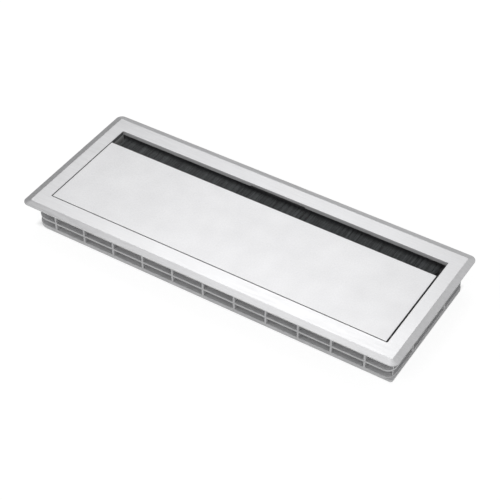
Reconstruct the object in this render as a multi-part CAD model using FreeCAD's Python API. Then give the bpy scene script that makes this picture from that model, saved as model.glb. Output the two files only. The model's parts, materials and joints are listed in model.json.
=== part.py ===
import FreeCAD, Part
import math
import os

# A desk cable box lid: a metal bezel with a hinged flap and a brush slot behind the flap, on a
# ribbed plastic collar that drops into the cut-out of a desk top.
# Millimetres. X runs along the hinge, Y from the hinge side to the brush side, Z up.
# The origin is the centre of the outline, at the foot of the collar.

Vector = FreeCAD.Vector
along_x = Vector(1, 0, 0)

# Whole part
total_height = 24.6

# Bezel: a flat flange with a shallow outer bevel and a lip round the opening
flange_length = 300.0
flange_width = 120.0
flange_thickness = 1.8
flange_corner = 5.0
bevel_width = 4.8
rim_height = 0.6
flat_corner = 1.0
end_rail = 14.5
side_rail = 16.1
opening_corner = 0.6
lip_height = 3.35
lip_thickness = 1.6
front_land = 0.8
front_undercut = 0.6
notch_length = 46.0
notch_rise = 0.85
notch_end_radius = 0.8
edge_break = 0.25

# Pegs under the flange, riveted over below the collar's top rail
peg_radius = 1.5
peg_head_radius = 2.3
peg_head_height = 0.9
peg_clearance = 0.15
inner_peg_bay = 1.5

# Flap
flap_thickness = 2.5
slot_width = 15.6
front_gap = 0.65
side_gap = 0.85
flap_shift = -0.2
open_angle = 100.0

# Hinge
pivot_setback = 8.0
pivot_depth = 3.6
hinge_tube_radius = 3.0
pin_radius = 1.5
pin_fit = 0.01
pin_grip = 10.0
pin_end_setback = 0.2
pin_chamfer = 0.3
bush_wall = 0.7
bush_fit = 0.01
bush_running_clearance = 0.05
bush_flange_radius = 2.7
bush_flange_thickness = 0.4
lug_radius = 4.2
lug_thickness = 3.4

# Strip brush in its groove under the flap's rear edge
mouth_setback = 0.5
groove_wall = 1.3
groove_lip_width = 0.8
groove_lip_height = 0.8
slide_gap = 0.1
channel_height = 4.6
channel_depth = 4.4
channel_wall = 0.7
channel_corner = 1.2
core_wire_radius = 0.65
bristle_play = 0.1
wire_play = 0.02
tip_gap = 0.6
tuft_pitch = 3.4
tuft_valley = 0.9
tuft_groove = 0.7
tuft_shortfalls = (0.1, 0.6, 0.3, 0.7, 0.0, 0.5, 0.2)
plug_length = 3.0
plug_chamfer = 0.4

# Collar: rounder corners at the left-hand end, and a foot that is squared at the front on the right
end_overhang = 5.0
side_overhang = 7.1
collar_taper = 0.1
left_corner = 10.0
right_corner = 6.5
foot_square_corner = 2.0
foot_reach = 0.4
foot_height = 1.6
well_step = 0.5
well_corner = 1.5
wall = 1.8
seat_gap = 0.1
lug_clearance = 0.3
rib_thickness = 1.5
long_rib_pitch = 25.1
least_end_bay = 8.0
rib_shift = -0.8
short_rib_place = 23.0
bottom_rail = 3.1
top_rail = 2.4
pocket_rows = 3
end_skin = 1.2
side_skin = 3.7

# Ledges with rubber pads that carry the closed flap, and stops that hold it open
rest_setback = 15.3
pad_radius = 3.2
pad_height = 1.6
pad_chamfer = 0.3
pad_inset = 4.4
ledge_reach = 8.6
ledge_width = 9.0
ledge_thickness = 1.6
ledge_root = 8.0
stop_clearance = 0.3
stop_reach = 4.2
stop_top = 5.0
stop_bottom = 9.5
stop_back = 6.0

# Places that follow from the sizes above
opening_length = flange_length - 2 * end_rail
opening_width = flange_width - 2 * side_rail
collar_length = flange_length - 2 * end_overhang
collar_width = flange_width - 2 * side_overhang
flange_under = total_height - flange_thickness
rim_top = flange_under + rim_height
lip_bottom = total_height - lip_height
flap_front = -opening_width / 2 + front_gap
flap_rear = opening_width / 2 - slot_width
flap_left = -opening_length / 2 + side_gap + flap_shift
flap_right = opening_length / 2 - side_gap + flap_shift
flap_under = total_height - flap_thickness
pivot_y = flap_front + pivot_setback
pivot_z = total_height - pivot_depth
well_length = opening_length + 2 * well_step
well_width = opening_width + 2 * well_step
groove_height = channel_height + 2 * slide_gap
groove_mouth = flap_rear - mouth_setback
groove_back = groove_mouth - groove_lip_width - channel_depth - 2 * slide_gap
groove_floor = flap_under - groove_height
brush_z = flap_under - groove_height / 2
bristle_half = channel_height / 2 - channel_wall - bristle_play
channel_mouth = groove_back + slide_gap + channel_depth
fold_y = groove_back + slide_gap + channel_wall + bristle_play + bristle_half
tip_y = opening_width / 2 - tip_gap
brush_left = flap_left + plug_length
brush_right = flap_right - plug_length
rest_y = flap_rear - rest_setback
ribs_each_side = int((collar_length / 2 - end_skin - least_end_bay) / long_rib_pitch)


def box(x0, x1, y0, y1, z0, z1):
    return Part.makeBox(x1 - x0, y1 - y0, z1 - z0, Vector(x0, y0, z0))


def outline(length, width, corners, z):
    # Closed rectangle with round corners, level at z and centred on the origin. Four radii go
    # round from the front right-hand corner; one radius serves all four.
    radii = corners if isinstance(corners, tuple) else (corners,) * 4
    arcs = []
    for quarter, radius in enumerate(radii):
        side_x, side_y = ((1, -1), (1, 1), (-1, 1), (-1, -1))[quarter]
        start = 90 * (quarter - 1)
        centre = Vector(side_x * (length / 2 - radius), side_y * (width / 2 - radius), z)
        turns = [math.radians(start + step) for step in (0, 45, 90)]
        points = [centre + Vector(radius * math.cos(turn), radius * math.sin(turn), 0) for turn in turns]
        arcs.append(Part.Arc(*points).toShape())
    edges = []
    for arc, following in zip(arcs, arcs[1:] + arcs[:1]):
        edges.append(arc)
        edges.append(Part.makeLine(arc.Vertexes[-1].Point, following.Vertexes[0].Point))
    return Part.Wire(edges)


def prism(length, width, radius, z0, z1):
    return Part.Face(outline(length, width, radius, z0)).extrude(Vector(0, 0, z1 - z0))


def frustum(lower, upper):
    return Part.makeLoft([lower, upper], True, True)


def profile(steps, place):
    # A wire from (u, v) points; a pair of points in one step is an arc's middle and end
    edges = []
    last = place(*steps[0])
    for step in steps[1:]:
        if isinstance(step[0], tuple):
            middle, end = place(*step[0]), place(*step[1])
            edges.append(Part.Arc(last, middle, end).toShape())
        else:
            end = place(*step)
            edges.append(Part.makeLine(last, end))
        last = end
    return Part.Wire(edges)


def in_section(x):
    return lambda y, z: Vector(x, y, z)


def rod(radius, x0, x1, y, z):
    return Part.makeCylinder(radius, x1 - x0, Vector(x0, y, z), along_x)


def corner_mid(centre, radius, angle):
    turn = math.radians(angle)
    return (centre[0] + radius * math.cos(turn), centre[1] + radius * math.sin(turn))


def edges_where(shape, test):
    return [edge for edge in shape.Edges if all(test(vertex.Point) for vertex in edge.Vertexes)]


def peg_places():
    # Midway between the pockets' back walls and the outer face of the collar
    long_y = (well_width / 2 + wall + collar_width / 2) / 2
    short_x = (well_length / 2 + wall + collar_length / 2) / 2
    bays = (inner_peg_bay, ribs_each_side - 0.5)
    long_x = [rib_shift + end * bay * long_rib_pitch for end in (-1, 1) for bay in bays]
    places = [(x, side * long_y) for side in (-1, 1) for x in long_x]
    return places + [(-short_x, 0.0), (short_x, 0.0)]


def make_lug(side):
    inner = side * opening_length / 2
    outer = side * (opening_length / 2 + lug_thickness)
    x0, x1 = min(inner, outer), max(inner, outer)
    steps = [(pivot_y - lug_radius, rim_top), (pivot_y - lug_radius, pivot_z),
             ((pivot_y, pivot_z - lug_radius), (pivot_y + lug_radius, pivot_z)),
             (pivot_y + lug_radius, rim_top), (pivot_y - lug_radius, rim_top)]
    return Part.Face(profile(steps, in_section(x0))).extrude(Vector(x1 - x0, 0, 0))


def make_pegs():
    rail_under = flange_under - top_rail
    pegs = []
    for x, y in peg_places():
        pegs.append(Part.makeCylinder(peg_radius, rim_top - rail_under, Vector(x, y, rail_under)))
        head = Part.makeCone(peg_head_radius - peg_head_height / 2, peg_head_radius, peg_head_height,
                             Vector(x, y, rail_under - peg_head_height))
        pegs.append(head)
    return pegs


def make_notch():
    # Shallow relief in the lower edge of the rear lip, with round ends
    half = notch_length / 2
    roof = lip_bottom + notch_rise
    face = opening_width / 2
    notch = box(-half, half, face - lip_thickness, face + 2 * lip_thickness, lip_bottom - notch_rise, roof)
    ends = edges_where(notch, lambda p: abs(p.z - roof) < 1e-6 and abs(abs(p.x) - half) < 1e-6)
    return notch.makeFillet(notch_end_radius, ends)


def make_front_relief():
    # The front wall leans back below a narrow land, so the flap's edge can swing down past it
    face = -opening_width / 2
    inside = face + lip_thickness
    back = face - front_undercut
    land = total_height - front_land
    low = lip_bottom - lip_height
    steps = [(inside, land), (face, land), (back, lip_bottom), (back, low), (inside, low), (inside, land)]
    start = -opening_length / 2
    section = Part.Face(profile(steps, in_section(start)))
    return section.extrude(Vector(opening_length, 0, 0))


def make_frame():
    flange = prism(flange_length, flange_width, flange_corner, flange_under, rim_top)
    bevel = frustum(outline(flange_length, flange_width, flange_corner, rim_top),
                    outline(flange_length - 2 * bevel_width, flange_width - 2 * bevel_width,
                            flat_corner, total_height))
    lip = prism(opening_length + 2 * lip_thickness, opening_width + 2 * lip_thickness,
                opening_corner + lip_thickness, lip_bottom, rim_top)
    body = flange.fuse([bevel, lip, make_lug(-1), make_lug(1)] + make_pegs())
    opening = prism(opening_length, opening_width, opening_corner, lip_bottom - lip_height, total_height)
    broken_edge = frustum(outline(opening_length, opening_width, opening_corner, total_height - edge_break),
                          outline(opening_length + 2 * edge_break, opening_width + 2 * edge_break,
                                  opening_corner + edge_break, total_height))
    reach = opening_length / 2 + 2 * lug_thickness
    bore = rod(pin_radius + bush_running_clearance + bush_wall + bush_fit, -reach, reach, pivot_y, pivot_z)
    body = body.cut([opening, broken_edge, make_notch(), make_front_relief(), bore])
    return body.removeSplitter()


def make_flap():
    # One extruded section: plate, hinge tube near the front edge, brush groove under the rear edge
    e = edge_break
    top = total_height
    tube_half = math.sqrt(hinge_tube_radius ** 2 - (pivot_depth - flap_thickness) ** 2)
    holder_back = groove_back - groove_wall
    holder_under = groove_floor - groove_wall
    lip_back = groove_mouth - groove_lip_width
    lip_top = groove_floor + groove_lip_height
    steps = [
        (flap_front + e, top), (flap_rear - e, top), (flap_rear, top - e), (flap_rear, flap_under),
        (groove_back, flap_under), (groove_back, groove_floor), (lip_back, groove_floor),
        (lip_back, lip_top), (groove_mouth, lip_top), (groove_mouth, holder_under),
        (holder_back, holder_under), (holder_back, flap_under), (pivot_y + tube_half, flap_under),
        ((pivot_y, pivot_z - hinge_tube_radius), (pivot_y - tube_half, flap_under)),
        (flap_front, flap_under), (flap_front, top - e), (flap_front + e, top),
    ]
    section = Part.Face(profile(steps, in_section(flap_left)))
    bore = rod(pin_radius + pin_fit, flap_left, flap_right, pivot_y, pivot_z)
    flap = section.extrude(Vector(flap_right - flap_left, 0, 0)).cut(bore)
    for end in (flap_left, flap_right):
        edge = edges_where(flap, lambda p: abs(p.x - end) < 1e-6 and abs(p.z - top) < 1e-6)
        flap = flap.makeChamfer(e, edge)
    return flap


def make_pin(side):
    flap_end = flap_right if side > 0 else flap_left
    inner = flap_end - side * pin_grip
    outer = side * (opening_length / 2 + lug_thickness - pin_end_setback)
    pin = rod(pin_radius, min(inner, outer), max(inner, outer), pivot_y, pivot_z)
    rims = [edge for edge in pin.Edges if len(edge.Vertexes) == 1]
    return pin.makeChamfer(pin_chamfer, rims)


def make_bush(side):
    face = side * opening_length / 2
    outer = side * (opening_length / 2 + lug_thickness)
    rim = face - side * bush_flange_thickness
    bore_radius = pin_radius + bush_running_clearance
    sleeve = rod(bore_radius + bush_wall, min(face, outer), max(face, outer), pivot_y, pivot_z)
    flange = rod(bush_flange_radius, min(face, rim), max(face, rim), pivot_y, pivot_z)
    bore = rod(bore_radius, min(rim, outer), max(rim, outer), pivot_y, pivot_z)
    return sleeve.fuse(flange).cut(bore).removeSplitter()


def make_channel():
    # Folded steel channel, open towards the rear
    back = groove_back + slide_gap
    mouth = channel_mouth
    high = channel_height / 2
    inner_high = high - channel_wall
    inner_back = back + channel_wall
    outer_r = channel_corner
    inner_r = channel_corner - channel_wall
    top_c = (back + outer_r, brush_z + high - outer_r)
    low_c = (back + outer_r, brush_z - high + outer_r)
    steps = [
        (mouth, brush_z + high), (back + outer_r, brush_z + high),
        (corner_mid(top_c, outer_r, 135), (back, brush_z + high - outer_r)),
        (back, brush_z - high + outer_r),
        (corner_mid(low_c, outer_r, 225), (back + outer_r, brush_z - high)),
        (mouth, brush_z - high), (mouth, brush_z - inner_high),
        (inner_back + inner_r, brush_z - inner_high),
        (corner_mid(low_c, inner_r, 225), (inner_back, brush_z - inner_high + inner_r)),
        (inner_back, brush_z + inner_high - inner_r),
        (corner_mid(top_c, inner_r, 135), (inner_back + inner_r, brush_z + inner_high)),
        (mouth, brush_z + inner_high), (mouth, brush_z + high),
    ]
    section = Part.Face(profile(steps, in_section(brush_left)))
    return section.extrude(Vector(brush_right - brush_left, 0, 0))


def make_core_wire():
    return rod(core_wire_radius, brush_left, brush_right, fold_y, brush_z)


def make_bristles():
    # Bristles folded round the core wire; past the channel they part into ridged tufts with uneven tips
    high, low = brush_z + bristle_half, brush_z - bristle_half
    steps = [(channel_mouth, high), (fold_y, high), ((fold_y - bristle_half, brush_z), (fold_y, low)),
             (channel_mouth, low), (channel_mouth, high)]
    section = Part.Face(profile(steps, in_section(brush_left)))
    root = section.extrude(Vector(brush_right - brush_left, 0, 0))
    root = root.cut(rod(core_wire_radius + wire_play, brush_left, brush_right, fold_y, brush_z))
    count = round((brush_right - brush_left) / tuft_pitch)
    pitch = (brush_right - brush_left) / count
    tips = [(brush_left, channel_mouth), (brush_left, tip_y - tuft_valley)]
    ridges = [(brush_left, low), (brush_left, high - tuft_groove)]
    for tuft in range(count):
        shortfall = tuft_shortfalls[tuft % len(tuft_shortfalls)]
        middle = brush_left + (tuft + 0.5) * pitch
        end = brush_left + (tuft + 1) * pitch
        tips += [(middle, tip_y - shortfall), (end, tip_y - tuft_valley - shortfall / 2)]
        ridges += [(middle, high), (end, high - tuft_groove)]
    tips += [(brush_right, channel_mouth), (brush_left, channel_mouth)]
    ridges += [(brush_right, low), (brush_left, low)]
    plan = Part.Face(profile(tips, lambda x, y: Vector(x, y, low)))
    ridged = Part.Face(profile(ridges, lambda x, z: Vector(x, channel_mouth, z)))
    tufts = plan.extrude(Vector(0, 0, high - low)).common(ridged.extrude(Vector(0, tip_y - channel_mouth, 0)))
    return root.fuse(tufts).removeSplitter()


def make_plug(side):
    # Plastic plug that closes one end of the groove and stops the strip brush
    x0, x1 = (brush_right, flap_right) if side > 0 else (flap_left, brush_left)
    plug = box(x0, x1, groove_back + slide_gap, groove_mouth - groove_lip_width - slide_gap,
               groove_floor + slide_gap, flap_under - slide_gap)
    inner = x0 if side > 0 else x1
    return plug.makeChamfer(plug_chamfer, edges_where(plug, lambda p: abs(p.x - inner) < 1e-6))


def make_pad(side):
    x = side * (opening_length / 2 - pad_inset)
    pad = Part.makeCylinder(pad_radius, pad_height, Vector(x, rest_y, flap_under - pad_height))
    rims = [edge for edge in pad.Edges if len(edge.Vertexes) == 1]
    top_rim = [edge for edge in rims if edge.CenterOfMass.z > flap_under - pad_chamfer]
    return pad.makeChamfer(pad_chamfer, top_rim)


def spans(limits, thickness):
    # Clear spans between ribs centred on the inner limits; the two outer limits are faces
    clear = []
    last = len(limits) - 2
    for index, (start, end) in enumerate(zip(limits, limits[1:])):
        begin = start if index == 0 else start + thickness / 2
        finish = end if index == last else end - thickness / 2
        clear.append((begin, finish))
    return clear


def pocket_levels():
    height = flange_under - top_rail - bottom_rail - (pocket_rows - 1) * rib_thickness
    row = height / pocket_rows
    return [(bottom_rail + i * (row + rib_thickness), bottom_rail + i * (row + rib_thickness) + row)
            for i in range(pocket_rows)]


def make_pockets():
    ribs = [rib_shift + place * long_rib_pitch for place in range(-ribs_each_side, ribs_each_side + 1)]
    long_end = collar_length / 2 - end_skin
    short_end = collar_width / 2 - side_skin
    long_bays = spans([-long_end] + ribs + [long_end], rib_thickness)
    short_bays = spans([-short_end, -short_rib_place, short_rib_place, short_end], rib_thickness)
    deep_y = well_width / 2 + wall
    deep_x = well_length / 2 + wall
    out_y = collar_width / 2 + wall
    out_x = collar_length / 2 + wall
    pockets = []
    for z0, z1 in pocket_levels():
        for x0, x1 in long_bays:
            pockets.append(box(x0, x1, -out_y, -deep_y, z0, z1))
            pockets.append(box(x0, x1, deep_y, out_y, z0, z1))
        for y0, y1 in short_bays:
            pockets.append(box(-out_x, -deep_x, y0, y1, z0, z1))
            pockets.append(box(deep_x, out_x, y0, y1, z0, z1))
    return pockets


def make_lug_slot(side):
    near = side * opening_length / 2
    far = side * (opening_length / 2 + lug_thickness + lug_clearance)
    half = lug_radius + lug_clearance
    return box(min(near, far), max(near, far), pivot_y - half, pivot_y + half, pivot_z - half, flange_under)


def make_ledge(side):
    # Bracket on the end wall; its sloping underside is the draft of the moulding
    root = side * (well_length / 2 + wall / 2)
    tip = side * (opening_length / 2 - ledge_reach)
    top = flap_under - pad_height
    steps = [(root, top), (tip, top), (tip, top - ledge_thickness), (root, top - ledge_root), (root, top)]
    start = rest_y - ledge_width / 2
    section = Part.Face(profile(steps, lambda x, z: Vector(x, start, z)))
    return section.extrude(Vector(0, ledge_width, 0))


def make_stop(side):
    # The open flap's underside comes to lie against the slanting front face of this block
    root = side * (well_length / 2 + wall / 2)
    tip = side * (opening_length / 2 - stop_reach)
    turn = math.radians(open_angle)
    under = pivot_depth - flap_thickness

    def face_y(drop):
        along = (-drop - under * math.cos(turn)) / math.sin(turn)
        return along * math.cos(turn) - under * math.sin(turn) + stop_clearance / math.sin(turn)

    steps = [(face_y(stop_top), -stop_top), (face_y(stop_bottom), -stop_bottom), (stop_back, -stop_bottom),
             (stop_back, -stop_top), (face_y(stop_top), -stop_top)]
    x0 = min(root, tip)
    section = Part.Face(profile(steps, lambda y, z: Vector(x0, pivot_y + y, pivot_z + z)))
    return section.extrude(Vector(abs(root - tip), 0, 0))


def make_foot(length, width):
    # The foot stands proud of the skirt along the right-hand end and squares its front corner
    corners = (foot_square_corner, right_corner, left_corner, left_corner)
    plan = outline(length + foot_reach, width, corners, 0)
    plan.translate(Vector(foot_reach / 2, 0, 0))
    return Part.Face(plan).extrude(Vector(0, 0, foot_height))


def make_collar():
    low_length = collar_length - 2 * collar_taper
    low_width = collar_width - 2 * collar_taper
    corners = (right_corner, right_corner, left_corner, left_corner)
    skirt = frustum(outline(low_length, low_width, corners, 0),
                    outline(collar_length, collar_width, corners, flange_under))
    body = skirt.fuse(make_foot(low_length, low_width))
    well = prism(well_length, well_width, well_corner, 0, flange_under)
    lip = lip_thickness + seat_gap
    seat = prism(opening_length + 2 * lip, opening_width + 2 * lip, opening_corner + lip,
                 lip_bottom - seat_gap, flange_under)
    body = body.cut([well, seat] + make_pockets())
    body = body.fuse([make_ledge(-1), make_ledge(1), make_stop(-1), make_stop(1)])
    bore = peg_radius + peg_clearance
    depth = 2 * top_rail
    holes = [Part.makeCylinder(bore, depth, Vector(x, y, flange_under - depth)) for x, y in peg_places()]
    return body.cut([make_lug_slot(-1), make_lug_slot(1)] + holes).removeSplitter()


def main():
    os.makedirs("parts", exist_ok=True)
    nodes = {
        "frame": make_frame(),
        "collar": make_collar(),
        "lid": make_flap(),
        "hinge_pin_left": make_pin(-1),
        "hinge_pin_right": make_pin(1),
        "hinge_bush_left": make_bush(-1),
        "hinge_bush_right": make_bush(1),
        "brush_channel": make_channel(),
        "brush_core_wire": make_core_wire(),
        "brush_bristles": make_bristles(),
        "groove_plug_left": make_plug(-1),
        "groove_plug_right": make_plug(1),
        "rest_pad_left": make_pad(-1),
        "rest_pad_right": make_pad(1),
    }
    for name, shape in nodes.items():
        shape.exportStep(os.path.join("parts", name + ".step"))
        box_size = shape.BoundBox
        print("%-18s solids %d valid %s volume %.1f  x %.2f..%.2f  y %.2f..%.2f  z %.2f..%.2f" % (
            name, len(shape.Solids), shape.isValid(), shape.Volume, box_size.XMin, box_size.XMax,
            box_size.YMin, box_size.YMax, box_size.ZMin, box_size.ZMax))


main()
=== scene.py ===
import json
import math
import random

import bpy
from mathutils import Matrix, Vector


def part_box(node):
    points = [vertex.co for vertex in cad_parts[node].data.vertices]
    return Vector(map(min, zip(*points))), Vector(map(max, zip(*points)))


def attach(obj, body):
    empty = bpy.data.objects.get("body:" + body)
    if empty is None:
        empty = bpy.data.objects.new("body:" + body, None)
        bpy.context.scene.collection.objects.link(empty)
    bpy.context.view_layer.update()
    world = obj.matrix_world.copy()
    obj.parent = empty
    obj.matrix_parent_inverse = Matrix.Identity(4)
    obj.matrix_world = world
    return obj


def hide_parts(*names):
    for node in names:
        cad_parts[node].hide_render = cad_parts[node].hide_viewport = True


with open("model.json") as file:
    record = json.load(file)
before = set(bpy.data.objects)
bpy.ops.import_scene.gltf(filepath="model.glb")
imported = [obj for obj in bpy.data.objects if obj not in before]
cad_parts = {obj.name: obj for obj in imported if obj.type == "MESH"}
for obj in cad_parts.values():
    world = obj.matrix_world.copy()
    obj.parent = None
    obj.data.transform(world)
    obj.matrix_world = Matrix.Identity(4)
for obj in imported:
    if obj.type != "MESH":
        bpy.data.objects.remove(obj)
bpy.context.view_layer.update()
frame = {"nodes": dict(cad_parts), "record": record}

nodes = frame["nodes"]
print("frame loaded:", len(nodes), "nodes")


def deselectAll():
    if bpy.context.object and bpy.context.object.mode != "OBJECT":
        bpy.ops.object.mode_set(mode="OBJECT")
    bpy.ops.object.select_all(action="DESELECT")


def copyPiece(piece, name):
    copied = piece.copy()
    copied.data = piece.data.copy()
    copied.name = name
    bpy.context.collection.objects.link(copied)
    return copied


def joinPieces(pieces, name):
    deselectAll()
    for piece in pieces:
        piece.select_set(True)
    bpy.context.view_layer.objects.active = pieces[0]
    bpy.ops.object.join()
    joined = bpy.context.object
    joined.name = name
    joined.data.name = name
    return joined


def addNode(tree, kind, inputs=None, **settings):
    # inputs are other nodes' outputs or plain values
    node = tree.nodes.new("ShaderNode" + kind)
    for key, value in settings.items():
        setattr(node, key, value)
    for key, value in (inputs or {}).items():
        if isinstance(value, bpy.types.NodeSocket):
            tree.links.new(value, node.inputs[key])
        else:
            node.inputs[key].default_value = value
    return node


def ramp(tree, value, limits, levels=(0.0, 1.0), **settings):
    # from the first level at the first limit to the second level at the second
    return addNode(tree, "MapRange", {
        "Value": value, "From Min": limits[0], "From Max": limits[1],
        "To Min": levels[0], "To Max": levels[1]}, **settings).outputs["Result"]


def combine(tree, operation, first, second):
    return addNode(tree, "Math", {0: first, 1: second}, operation=operation).outputs["Value"]


def sizeOf(tree, value):
    return addNode(tree, "Math", {0: value}, operation="ABSOLUTE").outputs["Value"]


def blendColour(tree, factor, first, second):
    mixed = addNode(tree, "Mix", data_type="RGBA")
    tree.links.new(factor, mixed.inputs["Factor"])
    for key, colour in (("A", first), ("B", second)):
        if isinstance(colour, bpy.types.NodeSocket):
            tree.links.new(colour, mixed.inputs[key])
        else:
            mixed.inputs[key].default_value = (*colour, 1)
    return mixed.outputs["Result"]


falling = (1.0, 0.0)
changes = {  # limits between which painted shade and a finish change fade in: shares of a face's normal, or places in metres
    "leansUp": (0.1, 0.3), "facesSideways": (0.7, 0.9), "withinSlot": (0.137, 0.140),
    "towardTips": (0.0385, 0.0425),
    "bandStart": (0.0435, 0.0440), "bandEnd": (0.0450, 0.0455), "bandFoot": (0.014, 0.018),
}


def shadeMask(tree, kind):
    # 1 where shade is painted: on upright faces (there partly a real edge finish), on the slot's end faces,
    #                           on bristle tips, or on the collar behind those tips
    coordinates = addNode(tree, "TexCoord")
    normal = addNode(tree, "SeparateXYZ", {"Vector": coordinates.outputs["Normal"]})
    spot = addNode(tree, "SeparateXYZ", {"Vector": coordinates.outputs["Object"]})
    # upright faces: a rougher unbrushed edge finish, whose darker colour is partly painted shade
    if kind == "upright":
        return ramp(tree, sizeOf(tree, normal.outputs["Z"]), changes["leansUp"], falling)
    # the slot's end faces: painted shade, as they face away from the light
    if kind == "slotEnds":
        facing = ramp(tree, sizeOf(tree, normal.outputs["X"]), changes["facesSideways"])
        inside = ramp(tree, sizeOf(tree, spot.outputs["X"]), changes["withinSlot"], falling)
        return combine(tree, "MULTIPLY", facing, inside)
    # bristle tips: painted shade, as in the rear rail's shadow
    if kind == "tips":
        return ramp(tree, spot.outputs["Y"], changes["towardTips"])
    # the collar wall behind the bristle tips, under the rear lip: painted shade
    behind = ramp(tree, spot.outputs["Y"], changes["bandStart"])
    before = ramp(tree, spot.outputs["Y"], changes["bandEnd"], falling)
    above = ramp(tree, spot.outputs["Z"], changes["bandFoot"])
    return combine(tree, "MULTIPLY", combine(tree, "MULTIPLY", behind, before), above)


grainRange = (0.3, 0.7)  # the grain's values between which a finish goes from smooth to rough


def grainFinish(name, look):
    # grain stretched along the working direction, over slow clouds of tone, with painted shade on the
    # places the look lists
    material = bpy.data.materials.new(name)
    material.use_nodes = True
    tree = material.node_tree
    shader = tree.nodes["Principled BSDF"]
    shader.inputs["Metallic"].default_value = look["metallic"]
    shader.inputs["IOR"].default_value = 1.5
    place = addNode(tree, "TexCoord").outputs["Object"]
    stretched = addNode(tree, "Mapping", {"Vector": place, "Scale": look["grainScale"]})
    grain = addNode(tree, "TexNoise", {
        "Vector": stretched.outputs["Vector"], "Scale": 1.0, "Detail": look["grainDetail"],
        "Roughness": look["grainRoughness"]}).outputs["Fac"]
    clouds = addNode(tree, "TexNoise", {
        "Vector": place, "Scale": look["cloudScale"], "Detail": 3.0}).outputs["Fac"]
    share = addNode(tree, "Mix", {"Factor": look["cloudShare"], "A": grain, "B": clouds}, data_type="FLOAT")
    level = ramp(tree, share.outputs["Result"], look["contrast"])
    colour = blendColour(tree, level, look["darkTone"], look["lightTone"])
    roughness = ramp(tree, grain, grainRange, look["rough"])
    # painted shade: a darker colour, with its own roughness, on each listed place
    for kind, shadeTone, shadeRough in look.get("shades", ()):
        shade = shadeMask(tree, kind)
        colour = blendColour(tree, shade, colour, shadeTone)
        dulled = addNode(tree, "Mix", {"Factor": shade, "A": roughness, "B": shadeRough}, data_type="FLOAT")
        roughness = dulled.outputs["Result"]
    tree.links.new(colour, shader.inputs["Base Color"])
    tree.links.new(roughness, shader.inputs["Roughness"])
    bump = addNode(tree, "Bump", {
        "Height": grain, "Strength": look["bumpStrength"], "Distance": look["bumpDistance"]})
    if look.get("edgeRadius"):
        edges = addNode(tree, "Bevel", {"Radius": look["edgeRadius"]}, samples=4)
        tree.links.new(edges.outputs["Normal"], bump.inputs["Normal"])
    tree.links.new(bump.outputs["Normal"], shader.inputs["Normal"])
    return material


bezelLook = {
    "metallic": 1.0, "darkTone": (0.735, 0.735, 0.745), "lightTone": (0.815, 0.815, 0.825),
    "grainScale": (60, 1200, 1200), "grainDetail": 3.0, "grainRoughness": 0.6,
    "cloudScale": 40, "cloudShare": 0.30, "contrast": (0.35, 0.65),
    "rough": (0.34, 0.44), "bumpStrength": 0.25, "bumpDistance": 0.00004,
    "edgeRadius": 0.00025,
    # painted shade: upright faces darker (partly a real edge finish), the slot's end faces much darker
    "shades": (("upright", (0.63, 0.63, 0.635), 0.85), ("slotEnds", (0.24, 0.24, 0.245), 0.85)),
}
flapLook = {
    "metallic": 1.0, "darkTone": (0.77, 0.77, 0.78), "lightTone": (0.88, 0.88, 0.89),
    "grainScale": (900, 900, 900), "grainDetail": 4.0, "grainRoughness": 0.7,
    "cloudScale": 55, "cloudShare": 0.30, "contrast": (0.35, 0.65),
    "rough": (0.40, 0.52), "bumpStrength": 0.3, "bumpDistance": 0.00004,
    "edgeRadius": 0.00015,
}
collarLook = {
    "metallic": 0.0, "darkTone": (0.41, 0.41, 0.415), "lightTone": (0.48, 0.48, 0.485),
    "grainScale": (1200, 1200, 1200), "grainDetail": 3.0, "grainRoughness": 0.6,
    "cloudScale": 90, "cloudShare": 0.6, "contrast": (0.35, 0.65),
    "rough": (0.45, 0.60), "bumpStrength": 0.35, "bumpDistance": 0.00005,
    # painted shade: the collar wall behind the bristle tips, under the rear lip, near black
    "edgeRadius": 0.00022, "shades": (("behindBrush", (0.05, 0.05, 0.052), 0.7),),
}
pinLook = {
    "metallic": 1.0, "darkTone": (0.52, 0.52, 0.53), "lightTone": (0.66, 0.66, 0.67),
    "grainScale": (4000, 300, 300), "grainDetail": 2.0, "grainRoughness": 0.5,
    "cloudScale": 200, "cloudShare": 0.3, "contrast": (0.35, 0.65),
    "rough": (0.18, 0.30), "bumpStrength": 0.2, "bumpDistance": 0.00002,
}
channelLook = {
    "metallic": 1.0, "darkTone": (0.46, 0.48, 0.50), "lightTone": (0.62, 0.63, 0.64),
    "grainScale": (160, 900, 900), "grainDetail": 3.0, "grainRoughness": 0.6,
    "cloudScale": 300, "cloudShare": 0.6, "contrast": (0.35, 0.65),
    "rough": (0.30, 0.48), "bumpStrength": 0.2, "bumpDistance": 0.00003,
}
bristleLook = {
    "metallic": 0.0, "darkTone": (0.016, 0.017, 0.018), "lightTone": (0.143, 0.152, 0.156),
    "grainScale": (1100, 20, 700), "grainDetail": 3.0, "grainRoughness": 0.65,
    "cloudScale": 500, "cloudShare": 0.1, "contrast": (0.32, 0.68),
    "rough": (0.35, 0.55), "bumpStrength": 0.1, "bumpDistance": 0.00002,
    # painted shade: the bristle tips darker towards the rear wall
    "shades": (("tips", (0.010, 0.010, 0.011), 0.6),),
}
darkPlasticLook = {
    "metallic": 0.0, "darkTone": (0.035, 0.035, 0.038), "lightTone": (0.060, 0.060, 0.063),
    "grainScale": (1800, 1800, 1800), "grainDetail": 3.0, "grainRoughness": 0.6,
    "cloudScale": 150, "cloudShare": 0.4, "contrast": (0.35, 0.65),
    "rough": (0.38, 0.55), "bumpStrength": 0.3, "bumpDistance": 0.00004,
}
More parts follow.
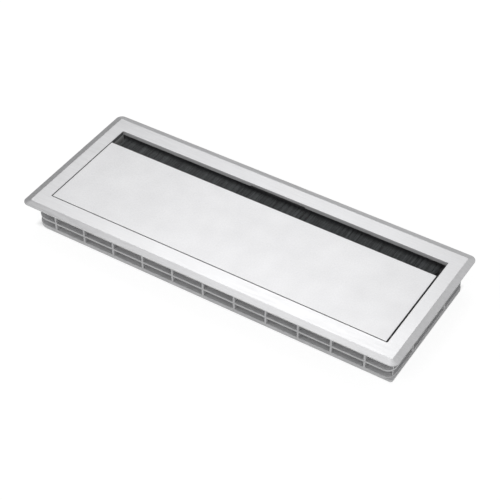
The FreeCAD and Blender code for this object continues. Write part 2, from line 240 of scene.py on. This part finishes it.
rubberLook = {
    "metallic": 0.0, "darkTone": (0.030, 0.030, 0.030), "lightTone": (0.060, 0.060, 0.060),
    "grainScale": (1400, 1400, 1400), "grainDetail": 4.0, "grainRoughness": 0.7,
    "cloudScale": 250, "cloudShare": 0.5, "contrast": (0.35, 0.65),
    "rough": (0.70, 0.90), "bumpStrength": 0.5, "bumpDistance": 0.00006,
}
finishes = {
    "bezel_metal": grainFinish("brushedBezel", bezelLook),
    "flap_metal": grainFinish("blastedFlap", flapLook),
    "collar_plastic": grainFinish("mouldedCollar", collarLook),
    "pin_steel": grainFinish("groundSteel", pinLook),
    "channel_steel": grainFinish("zincPlate", channelLook),
    "bristle_nylon": grainFinish("nylonBristle", bristleLook),
    "dark_plastic": grainFinish("blackPlastic", darkPlasticLook),
    "pad_rubber": grainFinish("softRubber", rubberLook),
}
slotOf = {part["node"]: part["material_slot"] for part in frame["record"]["subparts"]}
for nodeName, cadNode in nodes.items():
    cadNode.data.materials.clear()
    cadNode.data.materials.append(finishes[slotOf[nodeName]])
print("finishes on", len(nodes), "nodes")


brush = {
    "strandRadius": 0.00014, "strandSides": 4, "strandSteps": 3,
    "startY": 0.0256, "tipY": 0.0437, "shortest": 0.0009,
    "tuftPitch": 0.0034, "strandsPerTuft": 62, "tuftKinds": 9, "topShare": 0.45,
    "halfDepth": 0.00137, "crown": 0.0006, "fill": 0.93, "jitter": (0.1, 0.9),
    "topLayer": (0.0, 0.22), "lowerLayers": (0.1, 1.0), "unevenness": 2.2, "tipShare": 0.6,
    "strandLean": 0.00012, "strandDip": 0.00009, "tuftLean": 0.000075,
    "tuftSqueeze": (0.93, 0.99), "tuftTrim": 0.012,
    "partingChance": 0.45, "partingReach": 0.4, "parting": 0.00026, "partingPush": 0.000156, "seed": 11,
}


def makeStrand():
    # one bristle along +Y, drawn out in steps from a small ring, with a narrowed tip
    length = brush["tipY"] - brush["startY"]
    step = length / brush["strandSteps"]
    deselectAll()
    bpy.ops.mesh.primitive_circle_add(
        vertices=brush["strandSides"], radius=brush["strandRadius"], fill_type="NGON",
        location=(0, brush["startY"], 0), rotation=(math.radians(90), 0, 0))
    strand = bpy.context.object
    strand.name = "strand"
    bpy.ops.object.transform_apply(location=True, rotation=True, scale=True)
    bpy.ops.object.mode_set(mode="EDIT")
    bpy.ops.mesh.select_all(action="SELECT")
    for index in range(brush["strandSteps"]):
        bpy.ops.mesh.extrude_region_move(TRANSFORM_OT_translate={"value": (0, step, 0)})
    end = (0, brush["tipY"], 0)
    bpy.ops.transform.resize(value=(brush["tipShare"], 1, brush["tipShare"]), center_override=end)
    bpy.ops.mesh.select_all(action="SELECT")
    bpy.ops.mesh.normals_make_consistent(inside=False)
    bpy.ops.object.mode_set(mode="OBJECT")
    return strand


def makeTuft(strand, kind, dice):
    # a crowned bundle of strands, nearly half of them in its upper layer, often parted in two
    strands = []
    half = brush["tuftPitch"] / 2
    length = brush["tipY"] - brush["startY"]
    reach = brush["partingReach"]
    parting = dice.uniform(-reach, reach) * half if dice.random() < brush["partingChance"] else None
    for index in range(brush["strandsPerTuft"]):
        one = copyPiece(strand, "strandCopy")
        across = (index + dice.uniform(*brush["jitter"])) / brush["strandsPerTuft"]
        startX = (-1 + 2 * across) * half * brush["fill"]
        crown = brush["crown"] * (startX / half) ** 2
        top = brush["halfDepth"] - crown
        layer = "topLayer" if dice.random() < brush["topShare"] else "lowerLayers"
        level = dice.uniform(*brush[layer])
        startZ = top - level * (top + brush["halfDepth"])
        leanX = dice.gauss(0, brush["strandLean"])
        if parting is not None and abs(startX - parting) < brush["parting"]:
            leanX += math.copysign(brush["partingPush"], startX - parting)
        leanZ = dice.gauss(0, brush["strandDip"])
        cut = 1 - dice.random() ** brush["unevenness"] * brush["shortest"] / length
        for vertex in one.data.vertices:
            along = (vertex.co.y - brush["startY"]) / length
            vertex.co.x += startX + leanX * along
            vertex.co.z += startZ + leanZ * along * along
            vertex.co.y = brush["startY"] + (vertex.co.y - brush["startY"]) * cut
        strands.append(one)
    return joinPieces(strands, "tuft%d" % kind)


def makeBristles():
    low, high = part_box("brush_bristles")
    wireLow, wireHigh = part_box("brush_core_wire")
    middleZ = (wireLow.z + wireHigh.z) / 2
    dice = random.Random(brush["seed"])
    strand = makeStrand()
    kinds = [makeTuft(strand, kind, dice) for kind in range(brush["tuftKinds"])]
    count = round((high.x - low.x) / brush["tuftPitch"])
    pitch = (high.x - low.x) / count
    tufts = []
    for index in range(count):
        one = copyPiece(dice.choice(kinds), "tuftCopy")
        inside = 0 < index < count - 1
        squeeze = dice.uniform(*brush["tuftSqueeze"])
        lean = dice.gauss(0, brush["tuftLean"]) if inside else 0
        trim = 1 - abs(dice.gauss(0, brush["tuftTrim"]))
        place = low.x + (index + 0.5) * pitch
        for vertex in one.data.vertices:
            along = (vertex.co.y - brush["startY"]) / (brush["tipY"] - brush["startY"])
            vertex.co.x = place + vertex.co.x * squeeze + lean * along * along
            vertex.co.y = brush["startY"] + (vertex.co.y - brush["startY"]) * trim
            vertex.co.z += middleZ
        tufts.append(one)
    bristles = joinPieces(tufts, "bristleStrip")
    for piece in [strand] + kinds:
        bpy.data.objects.remove(piece)
    bristles.data.materials.clear()
    bristles.data.materials.append(finishes["bristle_nylon"])
    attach(bristles, "flap")
    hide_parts("brush_bristles")
    print("bristles:", count, "tufts,", len(bristles.data.polygons), "faces")
    return bristles


makeBristles()


studio = {
    "floorSize": 8.0, "floorTone": (0.86, 0.86, 0.86), "whiteShare": 0.72, "whiteLevel": 1.17,
    "acrossReach": (-1.0, 0.10), "acrossLevels": (0.16, 0.56),
    "frontReach": (0.2, -0.7), "frontLevels": (0.0, 0.70),
    "shadeLength": 0.140, "shadeWidth": 0.048, "shadeSoftness": 0.006,
}


def makeWorld():
    # a soft room that brightens from left to right and towards the front
    world = bpy.data.worlds.new("studioRoom")
    bpy.context.scene.world = world
    world.use_nodes = True
    tree = world.node_tree
    tree.nodes.clear()
    toward = addNode(tree, "SeparateXYZ", {"Vector": addNode(tree, "TexCoord").outputs["Generated"]})
    across = ramp(tree, toward.outputs["X"], studio["acrossReach"], studio["acrossLevels"])
    front = ramp(tree, toward.outputs["Y"], studio["frontReach"], studio["frontLevels"],
                 interpolation_type="SMOOTHSTEP")
    level = combine(tree, "ADD", across, front)
    room = addNode(tree, "Background", {"Color": (1, 1, 1, 1), "Strength": level})
    output = tree.nodes.new("ShaderNodeOutputWorld")
    tree.links.new(room.outputs[0], output.inputs["Surface"])


def makeFloor():
    # white where it is seen, shaded inside the collar, and see-through from below, so that the foot shows
    deselectAll()
    bpy.ops.mesh.primitive_plane_add(size=studio["floorSize"], location=(0, 0, 0))
    floor = bpy.context.object
    floor.name = "paleFloor"
    material = bpy.data.materials.new("paleFloor")
    material.use_nodes = True
    tree = material.node_tree
    tree.nodes.clear()
    plain = addNode(tree, "BsdfDiffuse", {"Color": (*studio["floorTone"], 1)})
    white = addNode(tree, "Emission", {"Color": (1, 1, 1, 1), "Strength": studio["whiteLevel"]})
    rays = addNode(tree, "LightPath")
    seen = combine(tree, "MAXIMUM", rays.outputs["Is Camera Ray"], rays.outputs["Is Glossy Ray"])
    seen = combine(tree, "MAXIMUM", seen, rays.outputs["Is Transmission Ray"])
    spot = addNode(tree, "SeparateXYZ", {"Vector": addNode(tree, "TexCoord").outputs["Object"]})
    beside = []
    for axis, reach in (("X", studio["shadeLength"]), ("Y", studio["shadeWidth"])):
        limits = (reach, reach + studio["shadeSoftness"])
        beside.append(ramp(tree, sizeOf(tree, spot.outputs[axis]), limits))
    outside = combine(tree, "MAXIMUM", *beside)
    share = combine(tree, "MULTIPLY", combine(tree, "MULTIPLY", seen, studio["whiteShare"]), outside)
    fromAbove = addNode(tree, "MixShader", {"Fac": share, 1: plain.outputs[0], 2: white.outputs[0]})
    fromBelow = addNode(tree, "BsdfTransparent")
    under = addNode(tree, "NewGeometry").outputs["Backfacing"]
    surface = addNode(tree, "MixShader", {"Fac": under, 1: fromAbove.outputs[0], 2: fromBelow.outputs[0]})
    output = tree.nodes.new("ShaderNodeOutputMaterial")
    tree.links.new(surface.outputs[0], output.inputs["Surface"])
    floor.data.materials.append(material)


softbox = {"place": (-0.72, 1.02, 1.88), "aim": (0, 0, 0.02), "size": 1.0, "watts": 7.25}


def makeSoftbox():
    # a square lamp behind and to the left, whose reflection brightens the flap and the front rail
    data = bpy.data.lights.new("backSoftbox", "AREA")
    data.shape = "SQUARE"
    data.size = softbox["size"]
    data.energy = softbox["watts"]
    light = bpy.data.objects.new("backSoftbox", data)
    bpy.context.collection.objects.link(light)
    light.location = softbox["place"]
    toward = Vector(softbox["aim"]) - Vector(softbox["place"])
    light.rotation_euler = toward.to_track_quat("-Z", "Y").to_euler()


makeWorld()
makeFloor()
makeSoftbox()
print("studio made")


shot = {
    "place": (0.40425, -0.64064, 0.70609), "right": (0.84744, 0.5309, 0.00158),
    "down": (0.36186, -0.57543, -0.73344), "forward": (-0.38847, 0.62212, -0.67974),
    "lens": 105.425, "sensor": 36.0, "near": 0.05, "far": 50.0,
}


def makeCamera():
    data = bpy.data.cameras.new("photoCamera")
    data.lens = shot["lens"]
    data.sensor_width = shot["sensor"]
    data.clip_start = shot["near"]
    data.clip_end = shot["far"]
    camera = bpy.data.objects.new("photoCamera", data)
    bpy.context.collection.objects.link(camera)
    right, down, forward = Vector(shot["right"]), Vector(shot["down"]), Vector(shot["forward"])
    turn = Matrix((right, -down, -forward)).transposed()
    camera.matrix_world = Matrix.Translation(shot["place"]) @ turn.to_4x4()
    bpy.context.scene.camera = camera


makeCamera()
bpy.context.scene.view_settings.view_transform = "Standard"
print("camera set")
